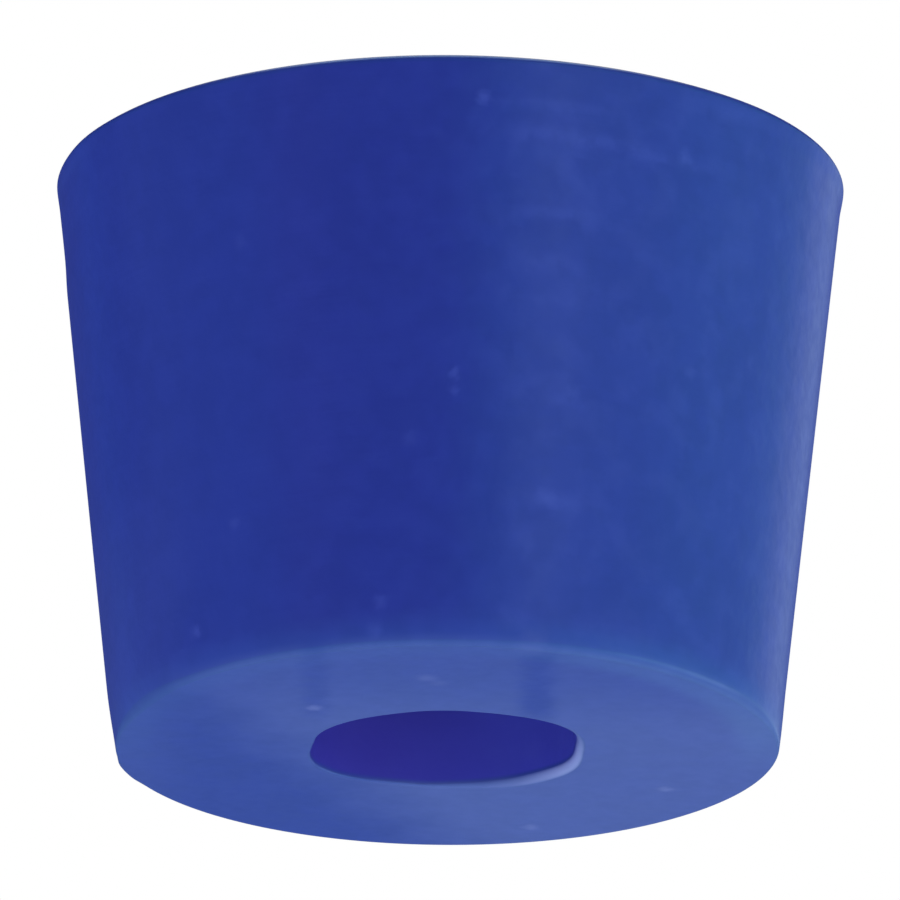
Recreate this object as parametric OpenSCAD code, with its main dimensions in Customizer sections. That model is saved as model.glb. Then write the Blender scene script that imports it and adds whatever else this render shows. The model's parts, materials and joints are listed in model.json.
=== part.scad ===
// Rubber stopper with one hole: a single moulded piece, a cone frustum with a
// straight bore along its axis and small rounded edges.
// The narrow end faces down and the wide end faces up. The origin is the
// centre of the narrow face, and every length is in millimetres.

/* [Taper] */
// Diameter of the wide end, across the corners of wall and face
wide_d = 37; // [32:0.5:60]
// Diameter of the narrow end, across the corners of wall and face
narrow_d = 31; // [22:0.5:36]
// Length from the narrow face to the wide face
length = 27.5; // [12:0.5:60]

/* [Bore] */
// Diameter of the straight bore
bore_d = 12.2; // [4:0.1:16]

/* [Edges] */
// Radius of the edge round the wide end
wide_rim_r = 0.25; // [0.05:0.05:1]
// Radius of the edge round the narrow end
narrow_rim_r = 0.3; // [0.05:0.05:1]
// Radius of the edge where the bore opens in the wide face
wide_mouth_r = 0.3; // [0.05:0.05:1]
// Radius of the edge where the bore opens in the narrow face
narrow_mouth_r = 0.3; // [0.05:0.05:1]

/* [Hidden] */

// Sides of the revolved body, and of the circle that rounds an edge
body_fn = 180;
edge_fn = 48;

bore_r = bore_d / 2;
narrow_r = narrow_d / 2;
wide_r = wide_d / 2;

// Half section of the rubber, to the right of the axis and anticlockwise from
// the bore's mouth in the narrow face: each corner, and the radius of its edge
section = [
    [[bore_r, 0], narrow_mouth_r],
    [[narrow_r, 0], narrow_rim_r],
    [[wide_r, length], wide_rim_r],
    [[bore_r, length], wide_mouth_r]
];

function unit(v) = v / norm(v);

// What rounding takes off a corner at the origin, whose two sides run along
// side_a and side_b: all that lies outside the circle that touches both sides
module corner_waste(side_a, side_b, radius) {
    a = unit(side_a);
    b = unit(side_b);
    half_angle = acos(a * b) / 2;
    centre = unit(a + b) * radius / sin(half_angle);
    touch_a = a * radius / tan(half_angle);
    touch_b = b * radius / tan(half_angle);
    difference() {
        polygon([centre, 2 * touch_a - centre, -centre, 2 * touch_b - centre]);
        translate(centre) circle(r = radius, $fn = edge_fn);
    }
}

// The half section with every corner rounded by a true arc
module rounded_section() {
    last = len(section) - 1;
    difference() {
        polygon([for (entry = section) entry[0]]);
        for (i = [0:last]) {
            corner = section[i][0];
            before = section[i == 0 ? last : i - 1][0];
            after = section[i == last ? 0 : i + 1][0];
            translate(corner) corner_waste(before - corner, after - corner, section[i][1]);
        }
    }
}

module stopper() {
    color([0.17, 0.24, 0.58])
        rotate_extrude($fn = body_fn)
            rounded_section();
}

stopper();
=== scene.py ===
"""A one-hole rubber stopper in blue moulded rubber, on a pale bench in a plain light studio.

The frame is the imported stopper. One dressed body stands for it: the same cone frustum with its
bore and rounded edges, and with the small faults of form that moulding leaves. Lengths are in
metres. Azimuth is in degrees round the axis, 0 at the front (-Y) and positive towards the
right (+X). The narrow end faces down and stands on the bench.
"""

import json
import logging
import math
from dataclasses import dataclass
from enum import Enum

import bpy
import numpy as np
from mathutils import Matrix, Vector

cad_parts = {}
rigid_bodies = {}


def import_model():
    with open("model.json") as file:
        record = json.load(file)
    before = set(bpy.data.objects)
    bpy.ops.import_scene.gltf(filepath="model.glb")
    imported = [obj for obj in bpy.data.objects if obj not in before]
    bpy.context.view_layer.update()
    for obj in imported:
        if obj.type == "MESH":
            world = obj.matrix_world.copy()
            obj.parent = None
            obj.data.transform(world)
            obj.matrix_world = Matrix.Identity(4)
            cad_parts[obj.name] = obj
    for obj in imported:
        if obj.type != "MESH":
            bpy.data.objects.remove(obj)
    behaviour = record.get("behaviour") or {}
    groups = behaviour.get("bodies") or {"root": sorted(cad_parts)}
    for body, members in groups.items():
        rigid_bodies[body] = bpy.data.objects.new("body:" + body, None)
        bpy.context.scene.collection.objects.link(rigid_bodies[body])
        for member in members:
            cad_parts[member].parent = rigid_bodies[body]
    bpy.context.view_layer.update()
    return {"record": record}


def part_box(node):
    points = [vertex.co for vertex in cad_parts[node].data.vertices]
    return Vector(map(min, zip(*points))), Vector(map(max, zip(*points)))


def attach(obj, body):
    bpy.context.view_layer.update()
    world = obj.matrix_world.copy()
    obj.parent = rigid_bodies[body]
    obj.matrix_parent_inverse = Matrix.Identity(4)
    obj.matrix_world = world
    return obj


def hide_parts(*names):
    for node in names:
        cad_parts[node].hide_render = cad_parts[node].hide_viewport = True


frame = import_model()

Colour = tuple[float, float, float, float]
Light = tuple[float, float, float]

MM = 0.001
log = logging.getLogger("stopper")


def ease(value: np.ndarray, low: float, high: float) -> np.ndarray:
    """Eases from 0 to 1 between two values.

    With t the share of the way from low to high, held within 0 and 1, it is 3 t^2 - 2 t^3.

    Args:
        value: Where to work it out.
        low: The value up to which it is 0.
        high: The value from which it is 1.

    Returns:
        The eased share at each value.
    """
    share = np.clip((value - low) / (high - low), 0.0, 1.0)
    return share * share * (3.0 - 2.0 * share)


def arc_window(azimuth: np.ndarray, centre: float, half_width: float, fade: float) -> np.ndarray:
    """Picks out an arc round the axis.

    It is 1 within half_width of the centre, measured the short way round, and eases to 0 over
    fade beyond that.

    Args:
        azimuth: Degrees round the axis.
        centre: The middle of the arc, in degrees.
        half_width: Degrees each way that are fully inside.
        fade: Degrees over which it dies away.

    Returns:
        The arc's share at each azimuth.
    """
    away = np.abs((azimuth - centre + 180.0) % 360.0 - 180.0)
    return 1.0 - ease(away, half_width, half_width + fade)


class Stretch(Enum):
    """The stretches of the half section, in the order that the mesh's rows run round it."""

    NARROW_FACE = 0
    NARROW_RIM = 1
    WALL = 2
    WIDE_RIM = 3
    WIDE_FACE = 4
    WIDE_MOUTH = 5
    BORE = 6
    NARROW_MOUTH = 7


@dataclass(frozen=True)
class StopperSizes:
    """The stopper's sizes. Corners are where two straight sides of the section would meet."""

    length: float
    wide_radius: float
    narrow_radius: float
    bore_radius: float
    wide_rim: float = 0.25 * MM
    wide_mouth: float = 0.30 * MM
    narrow_mouth: float = 0.12 * MM
    open_mouth: float = 0.44 * MM
    soft_rim: float = 0.38 * MM
    sharp_rim: float = 0.08 * MM

    @classmethod
    def from_frame(cls) -> "StopperSizes":
        """Reads the length and the wide end from the frame's box, and the bore from its record.

        The box stops at the rounded wide rim, so the corner lies a little outside it. The rim's
        radius r turns through a right angle and the taper's angle a, and the corner stands off
        by r (cos a - 1 + tan(half the turn) sin a). The narrow end is 31 parts of the wide
        end's 37.

        Returns:
            The sizes in metres.
        """
        low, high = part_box("stopper")
        length = high.z - low.z
        reach = (high.x - low.x) / 2.0
        narrow_share = 31.0 / 37.0
        taper = math.atan2(reach * (1.0 - narrow_share), length)
        half_turn = (math.pi / 2.0 + taper) / 2.0
        stand_off = cls.wide_rim * (math.cos(taper) - 1.0 + math.tan(half_turn) * math.sin(taper))
        wide_radius = reach + stand_off
        mounts = {mount["name"]: mount for mount in frame["record"]["mounts"]}
        bore_radius = mounts["bore"]["dims"]["r_mm"] * MM
        return cls(length, wide_radius, wide_radius * narrow_share, bore_radius)


@dataclass(frozen=True)
class GridRows:
    """How many rows of the mesh each stretch of the section gets, and how many columns go round."""

    narrow_face: int = 26
    narrow_rim: int = 12
    wall: int = 210
    wide_rim: int = 10
    wide_face: int = 30
    wide_mouth: int = 10
    bore: int = 28
    narrow_mouth: int = 10
    columns: int = 288

    def of(self, stretch: Stretch) -> int:
        """Gives the rows of one stretch."""
        return getattr(self, stretch.name.lower())


@dataclass(frozen=True)
class MouldLine:
    """A faint ridge or groove that the mould's turning left part of the way round the wall."""

    height: float
    width: float
    lift: float
    azimuth: float
    spread: float

    def lift_at(self, height: np.ndarray, azimuth: np.ndarray) -> np.ndarray:
        """Works out how far the line lifts the wall.

        The lift is a bell curve of the height, exp(-(z - z0)^2 / w^2), times the arc's share.

        Args:
            height: Heights above the narrow face.
            azimuth: Degrees round the axis.

        Returns:
            The lift along the wall's normal, in metres.
        """
        bell = np.exp(-(((height - self.height * MM) / (self.width * MM)) ** 2))
        arc = arc_window(azimuth, self.azimuth, self.spread * 0.4, self.spread * 0.6)
        return self.lift * MM * bell * arc


MOULD_LINES = (
    MouldLine(25.4, 0.30, 0.007, 16.0, 26.0),
    MouldLine(24.1, 0.36, 0.008, 26.0, 30.0),
    MouldLine(23.4, 0.30, 0.008, 18.0, 18.0),
    MouldLine(20.4, 0.30, 0.006, 17.0, 16.0),
    MouldLine(19.2, 0.36, 0.006, 18.0, 20.0),
    MouldLine(17.9, 0.34, 0.006, 18.0, 16.0),
    MouldLine(16.3, 0.34, 0.006, 20.0, 18.0),
    MouldLine(11.5, 0.32, 0.006, 20.0, 20.0),
    MouldLine(6.9, 0.50, 0.006, 18.0, 12.0),
    MouldLine(4.8, 0.40, 0.005, 21.0, 14.0),
)


@dataclass(frozen=True)
class Fault:
    """A departure from round over an arc: how far outwards in millimetres, and the arc in degrees."""

    outwards: float
    azimuth: float
    half_width: float
    fade: float

    def over(self, azimuth: np.ndarray) -> np.ndarray:
        """Works out the change of radius in metres, before it fades with the height."""
        return self.outwards * MM * arc_window(azimuth, self.azimuth, self.half_width, self.fade)


RIM_LEAN = (
    Fault(-0.14, 0.0, 60.0, 40.0),
    Fault(-0.10, -32.0, 38.0, 35.0),
)
RIM_TRIM = Fault(-0.10, -80.0, 8.0, 18.0)
RIM_CORNER = Fault(0.10, -106.0, 3.0, 6.0)

PROUD_SIDE = Fault(0.05, 90.0, 15.0, 30.0)
WIDE_LIPS = (
    Fault(0.09, 68.0, 14.0, 20.0),
    Fault(0.06, -77.0, 6.0, 14.0),
)
WAIST = Fault(-0.06, -92.0, 14.0, 16.0)

MOUTH_FAULTS = (
    Fault(-0.80, -4.0, 16.0, 64.0),
    Fault(0.74, -125.0, 3.0, 38.0),
    Fault(0.45, 138.0, 8.0, 34.0),
    Fault(0.18, 158.0, 32.0, 38.0),
)


@dataclass
class MouldedStopper:
    """The stopper's one body, with its rounded edges and the faults that moulding leaves."""

    sizes: StopperSizes
    rows: GridRows

    def corner_radii(self, azimuth: np.ndarray) -> list[np.ndarray]:
        """Works out the rounding of the four corners of the section, round the axis.

        The narrow mouth opens towards the right. The narrow rim is soft over the front, a
        little sharper at the front left, and sharp at the back. The wide edges are even.

        Args:
            azimuth: Degrees round the axis, one for each column.

        Returns:
            The radii at the narrow mouth, the narrow rim, the wide rim and the wide mouth.
        """
        s = self.sizes
        opening = arc_window(azimuth, 110.0, 24.0, 60.0)
        narrow_mouth = s.narrow_mouth + (s.open_mouth - s.narrow_mouth) * opening
        narrow_rim = s.sharp_rim + (s.soft_rim - s.sharp_rim) * arc_window(azimuth, 0.0, 66.0, 26.0)
        narrow_rim = narrow_rim - 0.12 * MM * arc_window(azimuth, -22.0, 24.0, 20.0)
        even = np.ones_like(azimuth)
        return [narrow_mouth, narrow_rim, s.wide_rim * even, s.wide_mouth * even]

    def section(self, azimuth: np.ndarray) -> tuple[np.ndarray, np.ndarray, np.ndarray]:
        """Draws the rounded half section at each azimuth.

        Side k runs from corner k to corner k + 1. With d a side's direction and n its outward
        normal, a corner of radius r that turns by t starts r tan(t / 2) before the corner, and
        its centre lies r inside that point. The arc is centre + r (cos p n + sin p d), with p
        from 0 to t. Rows on the faces and in the bore lie closer together towards their ends:
        a row's share u of the way becomes u - 0.8 sin(2 pi u) / (2 pi).

        Args:
            azimuth: Degrees round the axis, one for each column.

        Returns:
            Points (rows, columns, 2) as radius and height, normals of the same shape, and each
            row's stretch as its number.
        """
        s = self.sizes
        crowding = 0.8
        corners = np.array([
            [s.bore_radius, 0.0],
            [s.narrow_radius, 0.0],
            [s.wide_radius, s.length],
            [s.bore_radius, s.length],
        ])
        ahead = np.roll(corners, -1, axis=0) - corners
        along = ahead / np.linalg.norm(ahead, axis=1, keepdims=True)
        outward = np.stack([along[:, 1], -along[:, 0]], axis=1)
        radii = self.corner_radii(azimuth)
        before = np.roll(along, 1, axis=0)
        before_out = np.roll(outward, 1, axis=0)
        turn = np.arccos(np.clip((before * along).sum(axis=1), -1.0, 1.0))
        points, normals, stretches = [], [], []
        for side in range(4):
            corner = (side + 1) % 4
            set_back_start = radii[side] * math.tan(turn[side] / 2.0)
            set_back_end = radii[corner] * math.tan(turn[corner] / 2.0)
            start = corners[side] + set_back_start[:, None] * along[side]
            end = corners[corner] - set_back_end[:, None] * along[side]
            straight, rounded = Stretch(2 * side), Stretch(2 * side + 1)
            share = np.arange(self.rows.of(straight)) / self.rows.of(straight)
            if straight is not Stretch.WALL:
                share = share - crowding * np.sin(2.0 * np.pi * share) / (2.0 * np.pi)
            share = share[:, None, None]
            points.append(start[None] + (end - start)[None] * share)
            normals.append(np.broadcast_to(outward[side], points[-1].shape))
            stretches.append(np.full(len(share), straight.value))
            swing = np.arange(self.rows.of(rounded)) / self.rows.of(rounded) * turn[corner]
            swing = swing[:, None, None]
            arm = np.cos(swing) * before_out[corner] + np.sin(swing) * before[corner]
            arm = np.broadcast_to(arm, (len(swing), len(azimuth), 2))
            centre = end - radii[corner][:, None] * before_out[corner]
            points.append(centre[None] + radii[corner][None, :, None] * arm)
            normals.append(arm)
            stretches.append(np.full(len(swing), rounded.value))
        return np.concatenate(points), np.concatenate(normals), np.concatenate(stretches)

    def wall_relief(self, height: np.ndarray, azimuth: np.ndarray) -> np.ndarray:
        """Works out the relief of the wall along its normal.

        It is the sum of the mould lines and of a slow wobble, three low waves round the axis
        whose phase drifts with the height. It dies away towards both rims.

        Args:
            height: Heights above the narrow face.
            azimuth: Degrees round the axis.

        Returns:
            The relief in metres.
        """
        lines = sum(line.lift_at(height, azimuth) for line in MOULD_LINES)
        angle = np.radians(azimuth)
        climb = height / self.sizes.length
        wobble = (
            0.012 * np.sin(2.0 * angle + 1.3 + 1.1 * climb)
            + 0.008 * np.sin(3.0 * angle + 0.4 - 2.0 * climb)
            + 0.005 * np.sin(5.0 * angle + 2.2 + 4.0 * climb)
        )
        fade = ease(height, 0.5 * MM, 3.0 * MM) * ease(self.sizes.length - height, 0.5 * MM, 3.0 * MM)
        return lines + wobble * MM * fade

    def near_wall(self, radius: np.ndarray) -> np.ndarray:
        """Eases from 0 to 1 as the distance from the axis nears the narrow rim's."""
        rim = self.sizes.narrow_radius
        return ease(radius, rim - 2.5 * MM, rim - 0.3 * MM)

    def rim_faults(self, radius: np.ndarray, height: np.ndarray, azimuth: np.ndarray) -> np.ndarray:
        """Works out how far the narrow end's rim departs from round.

        Over the front half, the last 2.2 mm of the wall roll in by the cube of the way down,
        and most on the left. At the left limb a little is trimmed off in front of a slightly
        proud corner.

        Args:
            radius: Distances from the axis.
            height: Heights above the narrow face.
            azimuth: Degrees round the axis.

        Returns:
            The change of radius in metres.
        """
        low_wall = np.clip(1.0 - height / (2.2 * MM), 0.0, 1.0)
        lean = sum(fault.over(azimuth) for fault in RIM_LEAN) * low_wall ** 3
        trim = RIM_TRIM.over(azimuth) * (1.0 - ease(height, 0.0, 3.2 * MM)) ** 1.5
        corner = RIM_CORNER.over(azimuth) * (1.0 - ease(height, 0.2 * MM, 1.5 * MM))
        return (lean + trim + corner) * self.near_wall(radius)

    def wall_faults(self, radius: np.ndarray, height: np.ndarray, azimuth: np.ndarray) -> np.ndarray:
        """Works out how far the wall and the wide end's rim depart from round.

        The right side stands slightly proud. The wide rim ends in a low lip on either side of
        the front, and at the left the wide end's wall draws in a little.

        Args:
            radius: Distances from the axis.
            height: Heights above the narrow face.
            azimuth: Degrees round the axis.

        Returns:
            The change of radius in metres.
        """
        side = PROUD_SIDE.over(azimuth)
        lips = sum(fault.over(azimuth) for fault in WIDE_LIPS) * ease(height, 26.4 * MM, 27.2 * MM)
        waist = WAIST.over(azimuth) * ease(height, 22.0 * MM, 24.0 * MM)
        return (side + lips + waist) * self.near_wall(radius)

    def mouth_faults(self, radius: np.ndarray, height: np.ndarray, azimuth: np.ndarray) -> np.ndarray:
        """Works out how far the narrow mouth departs from round.

        The front of the mouth stands in towards the axis, and the mouth lies a little further
        out at the back, most of all on its left and right. All fade deeper in the bore and
        across the face.

        Args:
            radius: Distances from the axis.
            height: Heights above the narrow face.
            azimuth: Degrees round the axis.

        Returns:
            The change of radius in metres.
        """
        bore = self.sizes.bore_radius
        shallow = 1.0 - ease(height, 2.0 * MM, 6.0 * MM)
        near = 1.0 - ease(radius, bore + 0.5 * MM, bore + 4.0 * MM)
        return sum(fault.over(azimuth) for fault in MOUTH_FAULTS) * shallow * near

    def shape(self) -> tuple[np.ndarray, np.ndarray]:
        """Works out the whole surface on its grid.

        Each row of the section goes round the axis: x = r sin(azimuth), y = -r cos(azimuth).
        The relief is added along the section's normal, and the faults of the rims, the wall
        and the mouth along the radius.

        Returns:
            Points (rows, columns, 3), and each row's stretch as its number.
        """
        azimuth = np.arange(self.rows.columns) * 360.0 / self.rows.columns
        azimuth = (azimuth + 180.0) % 360.0 - 180.0
        flat, normal, stretch = self.section(azimuth)
        radius, height = flat[..., 0], flat[..., 1]
        turned = np.broadcast_to(azimuth, radius.shape)
        on_wall = (stretch == Stretch.WALL.value)[:, None]
        relief = np.where(on_wall, self.wall_relief(height, turned), 0.0)
        change = self.rim_faults(radius, height, turned) + self.wall_faults(radius, height, turned)
        change = change + self.mouth_faults(radius, height, turned)
        radius = radius + relief * normal[..., 0] + change
        height = height + relief * normal[..., 1]
        angle = np.radians(turned)
        points = np.stack([radius * np.sin(angle), -radius * np.cos(angle), height], axis=-1)
        return points, stretch

    def build(self, material: bpy.types.Material) -> bpy.types.Object:
        """Makes the body and puts it in the stopper's place.

        The grid closes on itself both ways, so the shell has no seam and no pole.

        Args:
            material: The rubber.

        Returns:
            The body.
        """
        points, stretch = self.shape()
        rows, columns = points.shape[:2]
        row, column = np.meshgrid(np.arange(rows), np.arange(columns), indexing="ij")
        next_row, next_column = (row + 1) % rows, (column + 1) % columns
        quads = np.stack([
            row * columns + column,
            row * columns + next_column,
            next_row * columns + next_column,
            next_row * columns + column,
        ], axis=-1).reshape(-1, 4)
        mesh = bpy.data.meshes.new("moulded_body")
        mesh.from_pydata(points.reshape(-1, 3), [], quads.tolist())
        mesh.polygons.foreach_set("use_smooth", np.ones(len(quads), dtype=bool))
        self.mark(mesh, points, stretch)
        mesh.materials.append(material)
        mesh.update()
        body = bpy.data.objects.new("moulded_body", mesh)
        bpy.context.scene.collection.objects.link(body)
        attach(body, "root")
        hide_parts("stopper")
        log.info("moulded_body: %d faces in %d rows of %d", len(quads), rows, columns)
        return body

    def mark(self, mesh: bpy.types.Mesh, points: np.ndarray, stretch: np.ndarray) -> None:
        """Writes the point attributes that the rubber's pattern reads.

        edge is 1 on the rounded edges, and inside is 1 in the bore. The lip mark is a painted
        highlight on the narrow mouth's edge: the power 13 of (1 + cos(azimuth - 112)) / 2.

        Args:
            mesh: The body's mesh.
            points: The grid of points.
            stretch: Each row's stretch as its number.
        """
        rounded = [Stretch.NARROW_MOUTH, Stretch.NARROW_RIM, Stretch.WIDE_RIM, Stretch.WIDE_MOUTH]
        edge = np.isin(stretch, [one.value for one in rounded]).astype(float)
        inside = (stretch == Stretch.BORE.value).astype(float)
        lip = stretch == Stretch.NARROW_MOUTH.value
        across = np.zeros(len(stretch))
        across[lip] = 1.0 - np.linspace(-1.0, 1.0, lip.sum()) ** 4
        azimuth = np.arctan2(points[..., 0], -points[..., 1])
        # Arc of the painted highlight on the narrow mouth's edge, round azimuth 112.
        lit_arc = ((1.0 + np.cos(azimuth - math.radians(112.0))) / 2.0) ** 13
        fields = {"edge": edge[:, None], "inside": inside[:, None], "painted_lip_highlight": across[:, None] * lit_arc}
        for name, field in fields.items():
            spread = np.broadcast_to(field, points.shape[:2]).astype(np.float32)
            attribute = mesh.attributes.new(name, "FLOAT", "POINT")
            attribute.data.foreach_set("value", spread.ravel())


class NodeSheet:
    """A node tree with short calls that add nodes and join them."""

    def __init__(self, tree: bpy.types.NodeTree) -> None:
        """Starts from an empty tree."""
        self.tree = tree
        tree.nodes.clear()

    def add(self, kind: str, **settings: object) -> bpy.types.Node:
        """Adds a node and sets its properties.

        Args:
            kind: The node's type.
            **settings: Properties of the node, by name.

        Returns:
            The node.
        """
        node = self.tree.nodes.new(kind)
        for name, value in settings.items():
            setattr(node, name, value)
        return node

    def feed(self, socket: bpy.types.NodeSocket, value: object) -> None:
        """Joins a socket to an output, or sets its own value.

        Args:
            socket: The socket that takes it.
            value: An output, or a plain value.
        """
        if isinstance(value, bpy.types.NodeSocket):
            self.tree.links.new(value, socket)
        else:
            socket.default_value = value

    def math(self, operation: str, *values: object) -> bpy.types.NodeSocket:
        """Adds one step of arithmetic.

        Args:
            operation: The step, such as ADD or MULTIPLY.
            *values: What goes in, in order: outputs or numbers.

        Returns:
            The result.
        """
        node = self.add("ShaderNodeMath", operation=operation)
        for socket, value in zip(node.inputs, values):
            self.feed(socket, value)
        return node.outputs[0]

    def ramp(self, value: object, low: float, high: float, to_low: float = 0.0,
             to_high: float = 1.0) -> bpy.types.NodeSocket:
        """Eases a value from one range into another and gives the result.

        Args:
            value: What goes in.
            low: The value that becomes to_low.
            high: The value that becomes to_high.
            to_low: The result at and below low.
            to_high: The result at and above high.

        Returns:
            The result's socket.
        """
        node = self.add("ShaderNodeMapRange", interpolation_type="SMOOTHSTEP")
        for socket, given in zip(node.inputs[:5], (value, low, high, to_low, to_high)):
            self.feed(socket, given)
        return node.outputs[0]

    def mark(self, name: str) -> bpy.types.NodeSocket:
        """Reads one of the mesh's point attributes."""
        return self.add("ShaderNodeAttribute", attribute_name=name).outputs["Fac"]

    def split(self, place: object) -> bpy.types.NodeOutputs:
        """Splits a vector.

        Args:
            place: The vector.

        Returns:
            The outputs X, Y and Z, by name.
        """
        node = self.add("ShaderNodeSeparateXYZ")
        self.feed(node.inputs[0], place)
        return node.outputs

    def blend(self, share: object, first: object, second: object) -> bpy.types.NodeSocket:
        """Mixes two colours: (1 - share) first + share second.

        Args:
            share: The second colour's share.
            first: The colour at share 0.
            second: The colour at share 1.

        Returns:
            The mixed colour.
        """
        node = self.add("ShaderNodeMix", data_type="RGBA")
        self.feed(node.inputs[0], share)
        self.feed(node.inputs[6], first)
        self.feed(node.inputs[7], second)
        return node.outputs[2]

    def noise(self, place: object, scale: float, detail: float) -> bpy.types.NodeSocket:
        """Adds a noise pattern.

        Args:
            place: Where it is worked out.
            scale: Its waves to the metre.
            detail: How many finer layers it has.

        Returns:
            Its value, mostly between 0.3 and 0.7.
        """
        node = self.add("ShaderNodeTexNoise")
        self.feed(node.inputs["Vector"], place)
        node.inputs["Scale"].default_value = scale
        node.inputs["Detail"].default_value = detail
        return node.outputs[0]

    def stretched(self, place: object, scale: tuple[float, float, float]) -> bpy.types.NodeSocket:
        """Scales a pattern's place along each axis.

        Args:
            place: The place.
            scale: The factor for each axis.

        Returns:
            The new place.
        """
        node = self.add("ShaderNodeMapping")
        self.feed(node.inputs["Vector"], place)
        node.inputs["Scale"].default_value = scale
        return node.outputs[0]


@dataclass(frozen=True)
class Speck:
    """A pale speck in the skin: how far it reaches in millimetres, and its share of pale colour.

    On the wall it lies at a height. On the narrow face it lies at a distance from the axis.
    """

    azimuth: float
    reach: float
    share: float
    height: float = 0.0
    from_axis: float = 0.0

    def place(self, sizes: StopperSizes) -> Vector:
        """Works out its middle.

        On the wall the distance from the axis goes from the narrow radius to the wide one in
        step with the height.

        Args:
            sizes: The stopper's sizes.

        Returns:
            The middle, in metres.
        """
        climb = self.height * MM / sizes.length
        on_wall = sizes.narrow_radius + (sizes.wide_radius - sizes.narrow_radius) * climb
        radius = self.from_axis * MM or on_wall
        turn = math.radians(self.azimuth)
        return Vector((radius * math.sin(turn), -radius * math.cos(turn), self.height * MM))


WALL_SPECKS = (
    Speck(5.0, 0.50, 0.100, height=25.5),
    Speck(37.0, 0.55, 0.068, height=24.0),
    Speck(-33.0, 0.50, 0.030, height=19.5),
    Speck(54.0, 0.52, 0.033, height=15.5),
    Speck(66.0, 0.52, 0.033, height=17.5),
    Speck(41.0, 0.60, 0.034, height=14.0),
    Speck(1.0, 0.44, 0.075, height=12.5),
    Speck(1.0, 0.44, 0.060, height=11.8),
    Speck(20.0, 0.60, 0.040, height=12.0),
    Speck(-6.0, 0.52, 0.032, height=9.5),
    Speck(16.0, 0.75, 0.042, height=7.0),
    Speck(-37.0, 0.54, 0.055, height=6.5),
    Speck(-11.0, 0.55, 0.048, height=2.0),
    Speck(-12.0, 0.62, 0.045, height=0.7),
    Speck(-47.0, 0.52, 0.085, height=2.0),
)

END_SPECKS = (
    Speck(-47.0, 0.62, 0.110, from_axis=8.3),
    Speck(-5.0, 0.75, 0.055, from_axis=10.3),
    Speck(-2.0, 0.60, 0.032, from_axis=9.5),
    Speck(15.5, 1.30, 0.042, from_axis=15.1),
    Speck(122.0, 0.62, 0.090, from_axis=12.2),
    Speck(162.0, 0.62, 0.075, from_axis=13.2),
)


@dataclass(frozen=True)
class PaintedHighlightDash:
    """A painted highlight: a pale dash that runs a short way round the wall, along a turning line.

    Its height and half thickness are in millimetres, and its half length in degrees.
    """

    azimuth: float
    half_length: float
    height: float
    half_thickness: float
    share: float


PAINTED_HIGHLIGHT_DASHES = (
    PaintedHighlightDash(17.0, 14.0, 25.4, 0.40, 0.020),
    PaintedHighlightDash(19.0, 18.0, 23.9, 0.66, 0.034),
    PaintedHighlightDash(35.0, 9.0, 23.6, 0.40, 0.022),
    PaintedHighlightDash(15.0, 10.0, 20.3, 0.60, 0.022),
    PaintedHighlightDash(15.0, 8.0, 17.9, 0.80, 0.022),
    PaintedHighlightDash(18.0, 10.0, 16.2, 0.50, 0.016),
    PaintedHighlightDash(17.0, 10.0, 11.5, 0.50, 0.018),
    PaintedHighlightDash(17.0, 7.0, 6.9, 0.70, 0.024),
    PaintedHighlightDash(15.0, 9.0, 4.9, 1.00, 0.014),
)


@dataclass(frozen=True)
class PaintedDarkReflection:
    """A painted dark reflection from front to back on the narrow face, where less pale colour lies."""

    x: float
    half_width: float
    share: float


PAINTED_DARK_REFLECTIONS = (
    PaintedDarkReflection(-6.0, 1.0, 0.5),
    PaintedDarkReflection(4.2, 1.3, 0.85),
)


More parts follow.
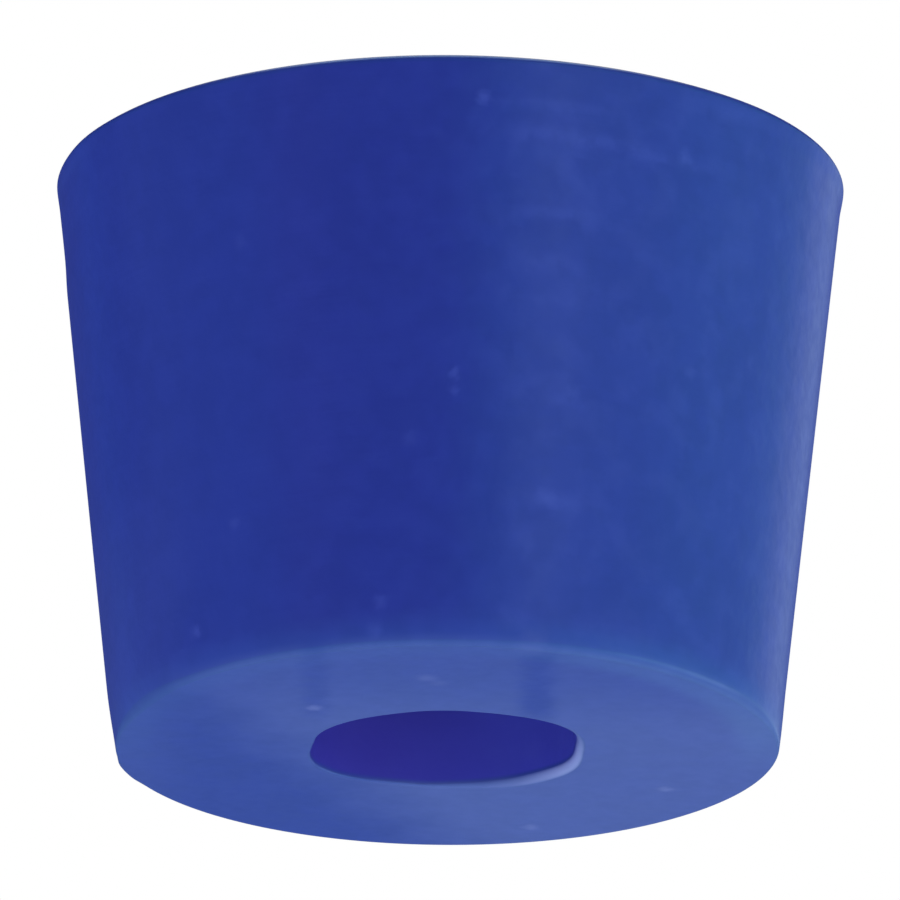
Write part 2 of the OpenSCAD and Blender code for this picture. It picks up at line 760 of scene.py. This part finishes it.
@dataclass(frozen=True)
class RubberFinish:
    """Satin blue moulded rubber, with pale specks in its skin, a pale film on its ends and painted light.
    """

    deep: Colour = (0.0163, 0.0255, 0.225, 1.0)
    pale: Colour = (0.0179, 0.0279, 0.243, 1.0)
    # Painted shade: the bore's violet tone, bluer and greener on the right as a painted reflection.
    bore_left: Colour = (0.0310, 0.0270, 0.260, 1.0)
    bore_right: Colour = (0.0320, 0.0360, 0.325, 1.0)
    # Painted light: the rounded edges are toned less blue and greener, for how light falls on them.
    rim: Colour = (0.0130, 0.0285, 0.205, 1.0)
    # Pale film colour, also carrying painted light on the ends and the foot of the wall.
    bloom: Colour = (0.52, 0.65, 1.0, 1.0)
    # Painted reflection: a teal tone along the front of the narrow rim.
    sheen: Colour = (0.08, 0.60, 0.90, 1.0)
    # Painted highlight on the right of the narrow mouth's edge.
    lip: Colour = (0.47, 0.52, 1.0, 1.0)
    # Pale colour of the specks and the wear, also of the painted highlight dashes and patches.
    speck: Colour = (0.18, 0.25, 0.95, 1.0)
    tint: Colour = (0.30, 0.72, 0.85, 1.0)
    roughness: float = 0.32
    rim_share: float = 0.8
    bloom_share: float = 0.066
    sheen_share: float = 0.024
    lip_share: float = 0.33
    patch_share: float = 0.024
    # Pale wear on the rounded edges, partly a painted highlight.
    edge_wear: float = 0.010

    def colour(self, sheet: NodeSheet, place: object, cloud: object, mottle: object
               ) -> bpy.types.NodeSocket:
        """Colours the rubber: a slow cloudy tone and a finer mottle, and a painted violet shade in the
        bore.

        Half of each noise makes the tone. The bore's painted shade turns bluer from its left to its right,
        a painted reflection of the room.

        Args:
            sheet: The material's node sheet.
            place: The place on the stopper.
            cloud: The slow noise.
            mottle: The finer noise.

        Returns:
            The colour under bloom and specks.
        """
        tone = sheet.math("MULTIPLY_ADD", mottle, 0.5, sheet.math("MULTIPLY", cloud, 0.5))
        skin = sheet.blend(sheet.ramp(tone, 0.40, 0.60), self.deep, self.pale)
        inside = sheet.mark("inside")
        parts = sheet.split(place)
        # Painted reflection: the bore's colour grows bluer and greener from left to right.
        across = sheet.ramp(parts["X"], -5.0 * MM, 5.5 * MM)
        return sheet.blend(inside, skin, sheet.blend(across, self.bore_left, self.bore_right))

    def end_field(self, sheet: NodeSheet, place: object, sizes: StopperSizes) -> bpy.types.NodeSocket:
        """Marks the ends: 1 on both end faces, and fading up the foot of the wall.

        The fade is a quick one over the lowest 0.6 mm, and a faint slow one over 5 mm, which paints light
        up the foot of the wall.

        Args:
            sheet: The material's node sheet.
            place: The place on the stopper.
            sizes: The stopper's sizes.

        Returns:
            The mark.
        """
        parts = sheet.split(place)
        z = parts["Z"]
        close = sheet.ramp(z, 0.05 * MM, 0.6 * MM, 0.9, 0.0)
        far = sheet.ramp(z, 0.15 * MM, 5.0 * MM, 0.316, 0.0)
        # Painted light: the slow fade lifts the pale colour up the foot of the wall.
        foot = sheet.math("MULTIPLY_ADD", far, far, close)
        top = sheet.ramp(z, sizes.length - 0.3 * MM, sizes.length - 0.05 * MM)
        inside = sheet.mark("inside")
        return sheet.math("MULTIPLY", sheet.math("ADD", foot, top), sheet.math("SUBTRACT", 1.0, inside))

    def bloom_field(self, sheet: NodeSheet, place: object, cloud: object, mottle: object,
                    on_end: object) -> bpy.types.NodeSocket:
        """Spreads a pale film with painted light: on the end faces, thin towards the left and back, and
        mottled.

        It eases in as x - 0.45 y goes from -11 to -3 mm, painted light that brightens the face
        towards the right, and is thinner near the front, with a little more painted light on the right
        of the narrow face's outer ring. A painted dark reflection lies where |x - its place| is small,
        in front of the bore. A faint painted light also climbs the foot of the wall's left side.

        Args:
            sheet: The material's node sheet.
            place: The place on the stopper.
            cloud: The slow noise.
            mottle: The finer noise.
            on_end: The mark of the ends.

        Returns:
            The share of the pale film and painted light.
        """
        parts = sheet.split(place)
        x, y = parts["X"], parts["Y"]
        drift = sheet.math("MULTIPLY_ADD", cloud, 5.0 * MM, -2.5 * MM)
        across = sheet.math("ADD", sheet.math("MULTIPLY_ADD", y, -0.45, x), drift)
        spread = sheet.ramp(across, -11.0 * MM, -3.0 * MM)
        spread = sheet.math("MULTIPLY", spread, sheet.ramp(y, -12.0 * MM, -1.0 * MM, 0.4, 1.0))
        low = sheet.ramp(parts["Z"], 0.4 * MM, 1.2 * MM, 1.0, 0.0)
        in_front = sheet.math("MULTIPLY", sheet.ramp(y, -6.0 * MM, -3.0 * MM, 1.0, 0.0), low)
        wavy = sheet.math("MULTIPLY_ADD", mottle, 0.8 * MM, -0.4 * MM)
        # Painted dark reflections across the narrow face, in front of the bore.
        for streak in PAINTED_DARK_REFLECTIONS:
            off = sheet.math("ADD", sheet.math("SUBTRACT", x, streak.x * MM), wavy)
            aside = sheet.math("ABSOLUTE", off)
            near = sheet.ramp(aside, 0.1 * MM, streak.half_width * MM, streak.share, 0.0)
            kept = sheet.math("SUBTRACT", 1.0, sheet.math("MULTIPLY", near, in_front))
            spread = sheet.math("MULTIPLY", spread, kept)
        # Painted light: a brighter band inside the narrow rim, on the right.
        flat_ring = sheet.math("MULTIPLY", sheet.ramp(parts["Z"], 0.0, 0.15 * MM, 0.22, 0.0),
                               sheet.ramp(x, 3.0 * MM, 10.0 * MM))
        spread = sheet.math("ADD", spread, sheet.math("MULTIPLY", self.ring_field(sheet, place), flat_ring))
        patchy = sheet.ramp(mottle, 0.3, 0.7, 0.95, 1.05)
        share = sheet.math("MULTIPLY", sheet.math("MULTIPLY", spread, patchy), on_end)
        # Painted light: the lower left of the wall brightens towards its foot.
        foot = sheet.math("MULTIPLY", sheet.ramp(x, -15.5 * MM, -11.0 * MM, 0.30, 0.0),
                          sheet.ramp(parts["Z"], 2.0 * MM, 13.0 * MM, 1.0, 0.0))
        share = sheet.math("ADD", share, foot)
        return sheet.math("MULTIPLY", share, self.bloom_share)

    def ring_field(self, sheet: NodeSheet, place: object) -> bpy.types.NodeSocket:
        """Marks the outer ring of the stopper's front half, from 13 to 14.4 mm outwards.

        It fades towards the back as y goes from -3 to 5 mm.

        Args:
            sheet: The material's node sheet.
            place: The place on the stopper.

        Returns:
            The mark.
        """
        flat = sheet.add("ShaderNodeVectorMath", operation="LENGTH")
        sheet.feed(flat.inputs[0], sheet.stretched(place, (1.0, 1.0, 0.0)))
        parts = sheet.split(place)
        ring = sheet.ramp(flat.outputs["Value"], 13.0 * MM, 14.4 * MM)
        return sheet.math("MULTIPLY", ring, sheet.ramp(parts["Y"], -3.0 * MM, 5.0 * MM, 1.0, 0.0))

    def sheen_field(self, sheet: NodeSheet, place: object) -> bpy.types.NodeSocket:
        """Spreads a faint painted teal reflection along the front of the narrow rim, mostly on its right.

        It fades from 0.3 to 1.6 mm above the narrow face, and about a third of it stays on the left.

        Args:
            sheet: The material's node sheet.
            place: The place on the stopper.

        Returns:
            The painted reflection's share.
        """
        parts = sheet.split(place)
        low = sheet.ramp(parts["Z"], 0.3 * MM, 1.6 * MM, 1.0, 0.0)
        right = sheet.ramp(parts["X"], 0.0, 8.0 * MM, 0.35 * self.sheen_share, self.sheen_share)
        return sheet.math("MULTIPLY", self.ring_field(sheet, place), sheet.math("MULTIPLY", low, right))

    def patch_field(self, sheet: NodeSheet, place: object, on_end: object) -> bpy.types.NodeSocket:
        """Spreads faint painted highlight mottle over the wall, mostly over its lit right half.

        A patch is where a noise rises from 0.44 to 0.70. Left of the axis a quarter of it stays.

        Args:
            sheet: The material's node sheet.
            place: The place on the stopper.
            on_end: The mark of the ends.

        Returns:
            The share of the painted highlight mottle.
        """
        parts = sheet.split(place)
        right = sheet.ramp(parts["X"], 0.0, 4.5 * MM, 0.25, 1.0)
        patches = sheet.ramp(sheet.noise(place, 620.0, 4.0), 0.44, 0.70, 0.0, self.patch_share)
        off_end = sheet.ramp(on_end, 0.1, 0.5, 1.0, 0.0)
        return sheet.math("MULTIPLY", sheet.math("MULTIPLY", patches, right), off_end)

    def scuff_field(self, sheet: NodeSheet, place: object, mottle: object) -> bpy.types.NodeSocket:
        """Gathers the painted highlight dashes along the turning lines.

        The azimuth is the angle of (x, -y). A dash fades away from its height and its middle,
        and the finer noise frays its outline.

        Args:
            sheet: The material's node sheet.
            place: The place on the stopper.
            mottle: The finer noise.

        Returns:
            The dashes' share.
        """
        parts = sheet.split(place)
        front = sheet.math("MULTIPLY", parts["Y"], -1.0)
        azimuth = sheet.math("ARCTAN2", parts["X"], front)
        fray = sheet.math("MULTIPLY_ADD", mottle, 0.5 * MM, -0.25 * MM)
        height = sheet.math("ADD", parts["Z"], fray)
        total = 0.0
        for highlight_dash in PAINTED_HIGHLIGHT_DASHES:
            above = sheet.math("ABSOLUTE", sheet.math("SUBTRACT", height, highlight_dash.height * MM))
            aside = sheet.math("ABSOLUTE", sheet.math("SUBTRACT", azimuth, math.radians(highlight_dash.azimuth)))
            thick = sheet.ramp(above, 0.0, highlight_dash.half_thickness * MM, highlight_dash.share, 0.0)
            reach = math.radians(highlight_dash.half_length)
            length = sheet.ramp(aside, 0.3 * reach, reach, 1.0, 0.0)
            total = sheet.math("MULTIPLY_ADD", thick, length, total)
        return sheet.math("MULTIPLY", total, sheet.ramp(mottle, 0.38, 0.6, 0.55, 1.15))

    def speck_field(self, sheet: NodeSheet, place: object, specks: tuple[Speck, ...],
                    sizes: StopperSizes) -> bpy.types.NodeSocket:
        """Gathers the placed specks, each falling from its share at its middle to 0 at its reach.

        Args:
            sheet: The material's node sheet.
            place: The place on the stopper, bent by a fine noise.
            specks: The specks.
            sizes: The stopper's sizes.

        Returns:
            The specks' share.
        """
        total = 0.0
        for speck in specks:
            away = sheet.add("ShaderNodeVectorMath", operation="DISTANCE")
            sheet.feed(away.inputs[0], place)
            away.inputs[1].default_value = speck.place(sizes)
            share = sheet.ramp(away.outputs["Value"], 0.0, speck.reach * MM, speck.share, 0.0)
            total = sheet.math("ADD", total, share)
        return total

    def dust_field(self, sheet: NodeSheet, place: object) -> bpy.types.NodeSocket:
        """Scatters fine specks everywhere: the hearts of some cells of a Voronoi pattern.

        A cell's speck is the stronger the more its random value is above 0.5.

        Args:
            sheet: The material's node sheet.
            place: The place on the stopper, bent by a fine noise.

        Returns:
            The fine specks' share.
        """
        cells = sheet.add("ShaderNodeTexVoronoi")
        sheet.feed(cells.inputs["Vector"], place)
        cells.inputs["Scale"].default_value = 330.0
        chosen = sheet.split(cells.outputs["Color"])
        heart = sheet.ramp(cells.outputs["Distance"], 0.0, 0.16, 0.013, 0.0)
        return sheet.math("MULTIPLY", heart, sheet.ramp(chosen["X"], 0.5, 0.9))

    def bent(self, sheet: NodeSheet, place: object) -> bpy.types.NodeSocket:
        """Bends the place on the stopper with a fine noise, by up to 0.3 mm along each axis.

        Args:
            sheet: The material's node sheet.
            place: The place on the stopper.

        Returns:
            The bent place.
        """
        bend = sheet.add("ShaderNodeTexNoise")
        sheet.feed(bend.inputs["Vector"], place)
        bend.inputs["Scale"].default_value = 2200.0
        bend.inputs["Detail"].default_value = 2.0
        shift = sheet.add("ShaderNodeVectorMath", operation="MULTIPLY_ADD")
        sheet.feed(shift.inputs[0], bend.outputs["Color"])
        most = 0.3 * MM
        shift.inputs[1].default_value = (2.0 * most,) * 3
        shift.inputs[2].default_value = (-most,) * 3
        moved = sheet.add("ShaderNodeVectorMath", operation="ADD")
        sheet.feed(moved.inputs[0], place)
        sheet.feed(moved.inputs[1], shift.outputs[0])
        return moved.outputs[0]

    def relief(self, sheet: NodeSheet, place: object, grain: object, on_end: object
               ) -> bpy.types.NodeSocket:
        """Roughens the surface: a fine grain, and faint turning lines that run round it.

        The height is grain + 0.6 lines + 1.8 undulation, over 0.016 mm. The relief is stronger
        on the wall than on the end faces.

        Args:
            sheet: The material's node sheet.
            place: The place on the stopper.
            grain: The fine noise.
            on_end: The mark of the ends.

        Returns:
            The normal.
        """
        lines = sheet.noise(sheet.stretched(place, (0.06, 0.06, 1.0)), 2600.0, 2.0)
        undulation = sheet.noise(place, 650.0, 2.0)
        height = sheet.math("MULTIPLY_ADD", lines, 0.6, grain)
        height = sheet.math("MULTIPLY_ADD", undulation, 1.8, height)
        bump = sheet.add("ShaderNodeBump")
        sheet.feed(bump.inputs["Strength"], sheet.ramp(on_end, 0.0, 1.0, 1.0, 0.06))
        bump.inputs["Distance"].default_value = 0.016 * MM
        sheet.feed(bump.inputs["Height"], height)
        return bump.outputs[0]

    def build(self, sizes: StopperSizes) -> bpy.types.Material:
        """Makes the material.

        Args:
            sizes: The stopper's sizes, for the places of the specks.

        Returns:
            The rubber.
        """
        material = bpy.data.materials.new("blue_rubber")
        material.use_nodes = True
        sheet = NodeSheet(material.node_tree)
        place = sheet.add("ShaderNodeTexCoord").outputs["Object"]
        cloud = sheet.noise(place, 260.0, 4.0)
        mottle = sheet.noise(place, 950.0, 3.0)
        grain = sheet.noise(place, 1500.0, 3.0)
        on_end = self.end_field(sheet, place, sizes)
        colour = self.colour(sheet, place, cloud, mottle)
        edge = sheet.mark("edge")
        # Painted light on the rounded edges: a darker blue, greener tone.
        colour = sheet.blend(sheet.math("MULTIPLY", edge, self.rim_share), colour, self.rim)
        # Pale film and painted light on the ends and the foot of the wall.
        colour = sheet.blend(self.bloom_field(sheet, place, cloud, mottle, on_end), colour, self.bloom)
        # Painted teal reflection along the front of the narrow rim.
        colour = sheet.blend(self.sheen_field(sheet, place), colour, self.sheen)
        # Pale wear on the rounded edges, partly a painted highlight along them.
        worn_and_lit_edge = sheet.math("MULTIPLY", edge, sheet.ramp(mottle, 0.35, 0.7, 0.0, self.edge_wear))
        bent = self.bent(sheet, place)
        share = sheet.math("ADD", self.speck_field(sheet, bent, WALL_SPECKS, sizes), worn_and_lit_edge)
        share = sheet.math("ADD", share, self.dust_field(sheet, bent))
        # Painted highlight: dashes where the wall's highlight breaks along turning lines.
        share = sheet.math("ADD", share, self.scuff_field(sheet, place, mottle))
        # Painted highlight mottle, mostly on the wall's lit right half.
        share = sheet.math("ADD", share, self.patch_field(sheet, place, on_end))
        colour = sheet.blend(share, colour, self.speck)
        # Painted highlight on the narrow mouth's edge, with the pale specks of the narrow face.
        lip = sheet.mark("painted_lip_highlight")
        on_face = self.speck_field(sheet, bent, END_SPECKS, sizes)
        pale = sheet.math("MULTIPLY_ADD", lip, self.lip_share, on_face)
        colour = sheet.blend(pale, colour, self.lip)
        rough = sheet.ramp(grain, 0.3, 0.7, self.roughness - 0.03, self.roughness + 0.03)
        shader = sheet.add("ShaderNodeBsdfPrincipled")
        sheet.feed(shader.inputs["Base Color"], colour)
        sheet.feed(shader.inputs["Roughness"], rough)
        sheet.feed(shader.inputs["Normal"], self.relief(sheet, place, grain, on_end))
        shader.inputs["IOR"].default_value = 1.5
        shader.inputs["Specular Tint"].default_value = self.tint
        output = sheet.add("ShaderNodeOutputMaterial")
        sheet.feed(output.inputs["Surface"], shader.outputs[0])
        return material


@dataclass(frozen=True)
class BenchFinish:
    """The pale bench: matt, and fading into the white room away from the stopper."""

    colour: Colour = (0.9, 0.9, 0.9, 1.0)
    fade_from: float = 0.06
    fade_to: float = 0.25

    def build(self) -> bpy.types.Material:
        """Makes the material. It shows only to the camera and only from above.

        Returns:
            The bench's material.
        """
        material = bpy.data.materials.new("pale_bench")
        material.use_nodes = True
        sheet = NodeSheet(material.node_tree)
        place = sheet.add("ShaderNodeTexCoord").outputs["Object"]
        length = sheet.add("ShaderNodeVectorMath", operation="LENGTH")
        sheet.feed(length.inputs[0], place)
        away = sheet.ramp(length.outputs["Value"], self.fade_from, self.fade_to)
        matt = sheet.add("ShaderNodeBsdfDiffuse")
        matt.inputs["Color"].default_value = self.colour
        white = sheet.add("ShaderNodeEmission")
        white.inputs["Strength"].default_value = 1.0
        shown = sheet.add("ShaderNodeMixShader")
        sheet.feed(shown.inputs[0], away)
        sheet.feed(shown.inputs[1], matt.outputs[0])
        sheet.feed(shown.inputs[2], white.outputs[0])
        ray = sheet.add("ShaderNodeLightPath")
        side = sheet.add("ShaderNodeNewGeometry")
        front = sheet.math("SUBTRACT", 1.0, side.outputs["Backfacing"])
        seen = sheet.math("MULTIPLY", ray.outputs["Is Camera Ray"], front)
        clear = sheet.add("ShaderNodeBsdfTransparent")
        final = sheet.add("ShaderNodeMixShader")
        sheet.feed(final.inputs[0], seen)
        sheet.feed(final.inputs[1], clear.outputs[0])
        sheet.feed(final.inputs[2], shown.outputs[0])
        output = sheet.add("ShaderNodeOutputMaterial")
        sheet.feed(output.inputs["Surface"], final.outputs[0])
        return material


@dataclass(frozen=True)
class Softbox:
    """A soft rectangular lamp that faces the stopper. Its light is a radiance, where 1 is white."""

    name: str
    azimuth: float
    elevation: float
    width: float
    height: float
    light: Light
    in_gloss: bool = True
    distance: float = 0.6

    def build(self, target: Vector) -> bpy.types.Object:
        """Makes the lamp.

        Its power is pi times its radiance times its area. A lamp that is kept out of the gloss
        is sampled as a lamp only, because rays that happen to hit it would bring the gloss back.

        Args:
            target: The point that it faces.

        Returns:
            The lamp.
        """
        turn, rise = math.radians(self.azimuth), math.radians(self.elevation)
        towards = Vector((
            math.sin(turn) * math.cos(rise),
            -math.cos(turn) * math.cos(rise),
            math.sin(rise),
        ))
        strongest = max(self.light)
        data = bpy.data.lights.new(self.name, "AREA")
        data.shape = "RECTANGLE"
        data.size = self.width
        data.size_y = self.height
        data.energy = math.pi * strongest * self.width * self.height
        data.color = [level / strongest for level in self.light]
        data.cycles.use_multiple_importance_sampling = self.in_gloss
        lamp = bpy.data.objects.new(self.name, data)
        lamp.location = target + towards * self.distance
        lamp.rotation_euler = (-towards).to_track_quat("-Z", "Y").to_euler()
        lamp.visible_camera = False
        lamp.visible_glossy = self.in_gloss
        bpy.context.scene.collection.objects.link(lamp)
        return lamp


SOFTBOXES = (
    Softbox("front_fill", 0.0, -40.0, 0.8, 0.6, (1.7, 1.7, 1.7), in_gloss=False),
    Softbox("right_fill", 80.0, -12.0, 0.6, 0.4, (2.1, 2.1, 2.35), in_gloss=False),
    Softbox("left_fill", -70.0, 6.0, 0.6, 0.5, (0.7, 0.7, 0.7), in_gloss=False),
    Softbox("left_low", -110.0, -36.0, 0.5, 0.4, (1.6, 1.6, 1.6), in_gloss=False),
    Softbox("right_low", 90.0, -26.0, 0.6, 0.30, (1.2, 1.3, 1.5)),
    Softbox("left_back", -127.0, 7.0, 0.32, 0.36, (0.01, 0.07, 0.33)),
    Softbox("left_side", -82.0, 7.0, 0.63, 0.36, (0.13, 0.24, 0.65)),
    Softbox("left_front", -45.0, 7.0, 0.16, 0.36, (0.35, 0.14, 0.52)),
    Softbox("right_sliver", 15.0, 7.0, 0.16, 0.36, (0.05, 0.41, 0.18)),
    Softbox("right_strip", 30.0, 7.0, 0.16, 0.36, (1.45, 1.25, 1.45)),
    Softbox("right_front", 53.0, 7.0, 0.32, 0.36, (0.43, 0.72, 0.32)),
    Softbox("right_side", 83.0, 7.0, 0.32, 0.36, (0.32, 0.82, 0.34)),
    Softbox("right_back", 113.0, 7.0, 0.32, 0.36, (0.19, 0.54, 0.43)),
    Softbox("far_right", 143.0, 7.0, 0.32, 0.36, (0.43, 0.58, 0.70)),
    Softbox("overhead", 0.0, 88.0, 0.6, 0.6, (3.0, 3.0, 3.0)),
)


@dataclass(frozen=True)
class RoomGlow:
    """The room's own light from directions at one height, in front and from behind.

    The height is the direction's z, from -1 straight down to 1 straight up.
    """

    height: float
    front: Light
    behind: Light


ROOM_GLOW = (
    RoomGlow(-1.0, (1.00, 1.00, 1.00), (0.57, 0.80, 0.75)),
    RoomGlow(-0.65, (0.72, 0.84, 0.84), (0.33, 0.60, 0.67)),
    RoomGlow(-0.4, (0.50, 0.64, 0.63), (0.165, 0.32, 0.44)),
    RoomGlow(-0.15, (0.36, 0.43, 0.42), (0.12, 0.22, 0.39)),
    RoomGlow(0.05, (0.14, 0.14, 0.14), (0.11, 0.20, 0.40)),
    RoomGlow(0.3, (0.02, 0.02, 0.02), (0.05, 0.07, 0.29)),
    RoomGlow(1.0, (0.10, 0.10, 0.10), (0.10, 0.10, 0.10)),
)


@dataclass
class Studio:
    """The camera, the lamps, the bench and the room's own light."""

    sizes: StopperSizes
    camera_elevation: float = -18.85
    camera_distance: float = 0.69
    lens: float = 589.5
    aim_right: float = 0.126 * MM
    aim_up: float = 0.765 * MM
    roll: float = 0.34

    def centre(self) -> Vector:
        """Gives the middle of the stopper."""
        return Vector((0.0, 0.0, self.sizes.length / 2.0))

    def place_camera(self) -> None:
        """Puts a long lens in front of the stopper and below it, turned slightly about its axis."""
        rise = math.radians(self.camera_elevation)
        back = Vector((0.0, -math.cos(rise), math.sin(rise)))
        right = Vector((1.0, 0.0, 0.0))
        up = back.cross(right)
        data = bpy.data.cameras.new("portrait_camera")
        data.sensor_width = 36.0
        data.lens = self.lens
        data.clip_start = 0.01
        data.clip_end = 10.0
        camera = bpy.data.objects.new("portrait_camera", data)
        turn = Matrix((right, up, back)).transposed() @ Matrix.Rotation(math.radians(self.roll), 3, "Z")
        aim = self.centre() + right * self.aim_right + up * self.aim_up
        camera.matrix_world = Matrix.Translation(aim + back * self.camera_distance) @ turn.to_4x4()
        bpy.context.scene.collection.objects.link(camera)
        bpy.context.scene.camera = camera
        log.info("portrait_camera: %.1f mm lens at %.2f m", self.lens, self.camera_distance)

    def place_bench(self, material: bpy.types.Material) -> None:
        """Lays the bench just under the stopper: rings of points from the middle out.

        Ring k has radius R (k / n)^2, so the rings lie closer together near the stopper.

        Args:
            material: The bench's finish.
        """
        rings, spokes, reach, top = 24, 64, 3.0, -0.05 * MM
        radius = reach * (np.arange(1, rings + 1) / rings) ** 2
        angle = np.arange(spokes) * 2.0 * np.pi / spokes
        x = radius[:, None] * np.cos(angle)
        y = radius[:, None] * np.sin(angle)
        points = np.stack([x, y, np.full_like(x, top)], axis=-1).reshape(-1, 3)
        points = np.concatenate([points, [[0.0, 0.0, top]]])
        ring, spoke = np.meshgrid(np.arange(rings - 1), np.arange(spokes), indexing="ij")
        following = (spoke + 1) % spokes
        quads = np.stack([
            ring * spokes + spoke,
            (ring + 1) * spokes + spoke,
            (ring + 1) * spokes + following,
            ring * spokes + following,
        ], axis=-1).reshape(-1, 4)
        first = np.arange(spokes)
        fan = np.stack([np.full(spokes, rings * spokes), first, (first + 1) % spokes], axis=-1)
        mesh = bpy.data.meshes.new("bench_top")
        mesh.from_pydata(points, [], quads.tolist() + fan.tolist())
        mesh.materials.append(material)
        bench = bpy.data.objects.new("bench_top", mesh)
        bpy.context.scene.collection.objects.link(bench)

    def glow_ramp(self, sheet: NodeSheet, height: object, side: str) -> bpy.types.NodeSocket:
        """Adds the room's light on one side and gives its colour.

        Args:
            sheet: The world's node sheet.
            height: The direction's z.
            side: Which of the glow's colours, front or behind.

        Returns:
            The colour, in straight steps between the heights of ROOM_GLOW.
        """
        ramp = sheet.add("ShaderNodeValToRGB")
        sheet.feed(ramp.inputs[0], sheet.math("MULTIPLY_ADD", height, 0.5, 0.5))
        stops = ramp.color_ramp.elements
        for glow in ROOM_GLOW[1:-1]:
            stops.new((glow.height + 1.0) / 2.0)
        for stop, glow in zip(stops, ROOM_GLOW):
            stop.color = (*getattr(glow, side), 1.0)
        return ramp.outputs[0]

    def light_room(self) -> None:
        """Makes the room white to the camera, and lit mostly from below to everything else.

        The light changes with the direction's height, and eases from the front's to the bluer
        light from behind as its y goes from 0.1 to 0.9.
        """
        world = bpy.data.worlds.new("white_room")
        bpy.context.scene.world = world
        world.use_nodes = True
        sheet = NodeSheet(world.node_tree)
        ray = sheet.add("ShaderNodeLightPath")
        towards = sheet.split(sheet.add("ShaderNodeTexCoord").outputs["Generated"])
        front = self.glow_ramp(sheet, towards["Z"], "front")
        behind = self.glow_ramp(sheet, towards["Z"], "behind")
        share = sheet.ramp(towards["Y"], 0.1, 0.9)
        dim = sheet.add("ShaderNodeBackground")
        sheet.feed(dim.inputs["Color"], sheet.blend(share, front, behind))
        white = sheet.add("ShaderNodeBackground")
        white.inputs["Color"].default_value = (1.0, 1.0, 1.0, 1.0)
        mixed = sheet.add("ShaderNodeMixShader")
        sheet.feed(mixed.inputs[0], ray.outputs["Is Camera Ray"])
        sheet.feed(mixed.inputs[1], dim.outputs[0])
        sheet.feed(mixed.inputs[2], white.outputs[0])
        output = sheet.add("ShaderNodeOutputWorld")
        sheet.feed(output.inputs["Surface"], mixed.outputs[0])

    def build(self) -> None:
        """Puts up the camera, the lamps, the bench and the room."""
        self.place_camera()
        for softbox in SOFTBOXES:
            softbox.build(self.centre())
            log.info("%s: lamp at azimuth %.0f, elevation %.0f", softbox.name, softbox.azimuth,
                     softbox.elevation)
        self.place_bench(BenchFinish().build())
        self.light_room()


def main() -> None:
    """Builds the stopper and its studio."""
    logging.basicConfig(level=logging.INFO, format="%(name)s: %(message)s")
    bpy.context.scene.view_settings.view_transform = "Standard"
    sizes = StopperSizes.from_frame()
    log.info("corner radii %.3f and %.3f mm", sizes.wide_radius / MM, sizes.narrow_radius / MM)
    MouldedStopper(sizes, GridRows()).build(RubberFinish().build(sizes))
    Studio(sizes).build()


if __name__ == "__main__":
    main()
